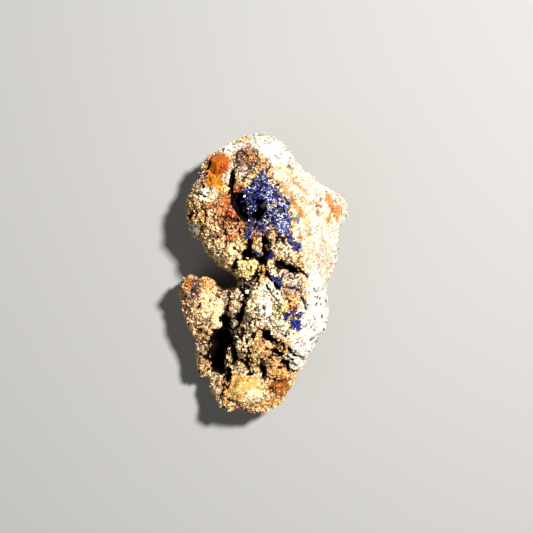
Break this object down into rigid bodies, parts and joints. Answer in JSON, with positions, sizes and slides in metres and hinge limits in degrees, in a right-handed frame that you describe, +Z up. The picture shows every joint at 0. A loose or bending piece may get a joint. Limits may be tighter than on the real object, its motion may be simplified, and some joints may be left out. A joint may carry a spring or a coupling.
{
  "type": "azurite specimen",
  "caption": "Loose hand specimen of iron-stained gossan with a crust and scattered blades of blue azurite crystals, lying on its broken back.",
  "frame": {"origin": "under the middle of the stone's box, on the surface that it lies on", "axes": "+Y along the stone towards its rounded crown, +X across it, +Z up out of the crystal face"},
  "size_m": [0.055, 0.09, 0.0375],
  "materials": {
    "gossan": "rough, granular, iron-stained",
    "azurite": "vitreous crystal faces"
  },
  "bodies": {
    "root": {"matrix": "gossan", "azurite_druse": "azurite", "azurite_trail": "azurite", "azurite_left_blade": "azurite", "azurite_crevice_cluster": "azurite", "azurite_crevice_blade": "azurite", "azurite_long_blade": "azurite", "azurite_crossed_blades": "azurite", "azurite_small_blade": "azurite", "azurite_lower_spray": "azurite", "azurite_lower_cluster": "azurite"}
  },
  "joints": []
}
